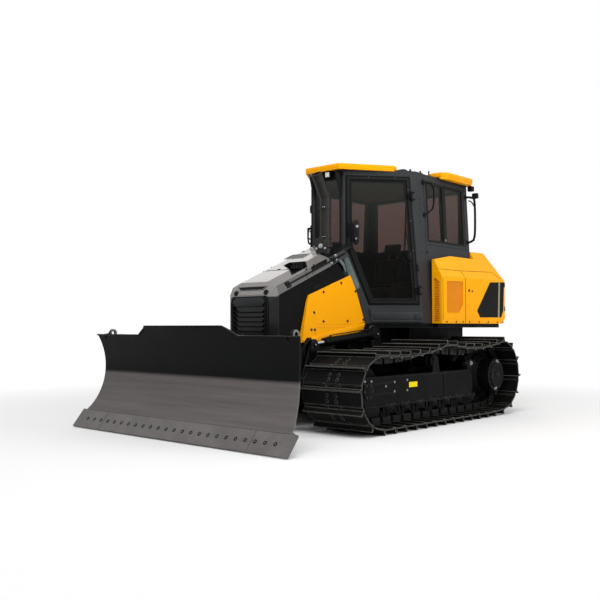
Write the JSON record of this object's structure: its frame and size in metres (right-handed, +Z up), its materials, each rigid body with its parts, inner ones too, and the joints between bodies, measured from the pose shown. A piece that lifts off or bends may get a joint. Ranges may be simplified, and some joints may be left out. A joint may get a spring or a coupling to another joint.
{
  "type": "crawler dozer with a power angle and tilt blade",
  "caption": "Compact crawler dozer on wide tracks, with a hexagonal glazed cab, a short sloping hood and a curved front blade that lifts, angles and tilts.",
  "frame": {"origin": "on the ground at the bottom centre of the whole machine, midway between the blade's tip and the drawbar's end", "axes": "-Y is the machine's front, +X its left side, +Z up"},
  "size_m": [3.17, 5.05, 3],
  "materials": {
    "yellow_paint": "satin",
    "black_paint": "satin",
    "undercarriage_paint": "satin",
    "cab_paint": "satin",
    "hood_grey": "satin",
    "blade_paint": "satin",
    "blade_steel": "worn",
    "track_steel": "worn",
    "engine_iron": "rough",
    "chrome_rod": "polished",
    "tinted_glass": "tinted",
    "black_plastic": "textured",
    "seat_fabric": "woven"
  },
  "bodies": {
    "machine": {"cab_frame": "cab_paint", "cab_glass": "tinted_glass", "consoles": "black_plastic", "deck": "black_paint", "door_hinges": "cab_paint", "drawbar": "black_paint", "engine_block": "engine_iron", "exhaust_stack": "black_paint", "final_drives": "undercarriage_paint", "grille": "black_paint", "handrails": "black_paint", "hood_nose": "hood_grey", "hood_sides": "black_paint", "hood_top": "hood_grey", "idlers": "undercarriage_paint", "intake_box": "hood_grey", "main_frame": "black_paint", "radiator": "engine_iron", "rear_cowl": "yellow_paint", "roof": "cab_paint", "roof_visor_front": "yellow_paint", "roof_visor_rear": "yellow_paint", "seat": "seat_fabric", "seat_base": "black_plastic", "side_panels": "yellow_paint", "side_pods": "yellow_paint", "sprockets": "track_steel", "track_frames": "undercarriage_paint", "track_left": "track_steel", "track_right": "track_steel", "track_rollers": "undercarriage_paint", "work_lamps": "black_plastic"},
    "door_left": {"door_left": "cab_paint", "door_glass_left": "tinted_glass"},
    "door_right": {"door_right": "cab_paint", "door_glass_right": "tinted_glass"},
    "rear_door": {"rear_door": "black_paint"},
    "c_frame": {"c_frame": "black_paint"},
    "blade_yoke": {"blade_yoke": "black_paint"},
    "blade": {"moldboard": "blade_paint", "cutting_edge": "blade_steel"},
    "lift_left_barrel": {"lift_left_barrel": "black_paint"},
    "lift_left_rod": {"lift_left_rod": "chrome_rod"},
    "lift_right_barrel": {"lift_right_barrel": "black_paint"},
    "lift_right_rod": {"lift_right_rod": "chrome_rod"},
    "angle_left_barrel": {"angle_left_barrel": "black_paint"},
    "angle_left_rod": {"angle_left_rod": "chrome_rod"},
    "angle_right_barrel": {"angle_right_barrel": "black_paint"},
    "angle_right_rod": {"angle_right_rod": "chrome_rod"},
    "tilt_barrel": {"tilt_barrel": "black_paint"},
    "tilt_rod": {"tilt_rod": "chrome_rod"}
  },
  "joints": [
    {"name": "blade_lift", "type": "hinge", "parent": "machine", "child": "c_frame", "pos_m": [0, 0.28, 0.4], "axis": [-1, 0, 0], "range_deg": [-9, 14]},
    {"name": "blade_angle", "type": "hinge", "parent": "c_frame", "child": "blade_yoke", "pos_m": [0, -1.8, 0.36], "axis": [0, 0, 1], "range_deg": [-25, 25]},
    {"name": "blade_tilt", "type": "hinge", "parent": "blade_yoke", "child": "blade", "pos_m": [0, -2.021, 0.42], "axis": [0, 1, 0], "range_deg": [-6, 6]},
    {"name": "door_left_swing", "type": "hinge", "parent": "machine", "child": "door_left", "pos_m": [0.81812, 0.546, 2], "axis": [-0.0498, -0.0584, 0.997], "range_deg": [0, 100]},
    {"name": "door_right_swing", "type": "hinge", "parent": "machine", "child": "door_right", "pos_m": [-0.81812, 0.546, 2], "axis": [-0.0498, 0.0584, -0.997], "range_deg": [0, 100]},
    {"name": "rear_door_swing", "type": "hinge", "parent": "machine", "child": "rear_door", "pos_m": [-0.585, 2.443, 1.41], "axis": [0, 0, 1], "range_deg": [0, 100]},
    {"name": "lift_left_base", "type": "hinge", "parent": "machine", "child": "lift_left_barrel", "pos_m": [0.5, 0.133, 1.007], "axis": [-1, 0, 0], "range_deg": [-12, 17]},
    {"name": "lift_left_stroke", "type": "slide", "parent": "lift_left_barrel", "child": "lift_left_rod", "axis": [0, -0.9955, -0.0949], "range_m": [-0.16, 0.11]},
    {"name": "angle_left_base", "type": "hinge", "parent": "c_frame", "child": "angle_left_barrel", "pos_m": [0.385, -1.22, 0.5], "axis": [0, 0, 1], "range_deg": [-6, 6]},
    {"name": "angle_left_stroke", "type": "slide", "parent": "angle_left_barrel", "child": "angle_left_rod", "axis": [0.0211, -0.9998, 0], "range_m": [-0.18, 0.18]},
    {"name": "lift_right_base", "type": "hinge", "parent": "machine", "child": "lift_right_barrel", "pos_m": [-0.5, 0.133, 1.007], "axis": [-1, 0, 0], "range_deg": [-12, 17]},
    {"name": "lift_right_stroke", "type": "slide", "parent": "lift_right_barrel", "child": "lift_right_rod", "axis": [0, -0.9955, -0.0949], "range_m": [-0.16, 0.11]},
    {"name": "angle_right_base", "type": "hinge", "parent": "c_frame", "child": "angle_right_barrel", "pos_m": [-0.385, -1.22, 0.5], "axis": [0, 0, 1], "range_deg": [-6, 6]},
    {"name": "angle_right_stroke", "type": "slide", "parent": "angle_right_barrel", "child": "angle_right_rod", "axis": [-0.0211, -0.9998, 0], "range_m": [-0.18, 0.18]},
    {"name": "tilt_base", "type": "hinge", "parent": "blade_yoke", "child": "tilt_barrel", "pos_m": [-0.12, -1.938, 0.8], "axis": [0, 1, 0], "range_deg": [-6, 6]},
    {"name": "tilt_stroke", "type": "slide", "parent": "tilt_barrel", "child": "tilt_rod", "axis": [1, 0, 0], "range_m": [-0.05, 0.05]}
  ],
  "couplings": [
    {"joint": "lift_left_base", "follows": "blade_lift", "ratio": 1.1226},
    {"joint": "lift_left_stroke", "follows": "blade_lift", "m_per_rad": -0.6077},
    {"joint": "angle_left_base", "follows": "blade_angle", "ratio": 0.1826},
    {"joint": "angle_left_stroke", "follows": "blade_angle", "m_per_rad": -0.3926},
    {"joint": "lift_right_base", "follows": "blade_lift", "ratio": 1.1226},
    {"joint": "lift_right_stroke", "follows": "blade_lift", "m_per_rad": -0.6077},
    {"joint": "angle_right_base", "follows": "blade_angle", "ratio": 0.1826},
    {"joint": "angle_right_stroke", "follows": "blade_angle", "m_per_rad": 0.3926},
    {"joint": "tilt_base", "follows": "blade_tilt", "ratio": 0.7976},
    {"joint": "tilt_stroke", "follows": "blade_tilt", "m_per_rad": 0.3798}
  ]
}
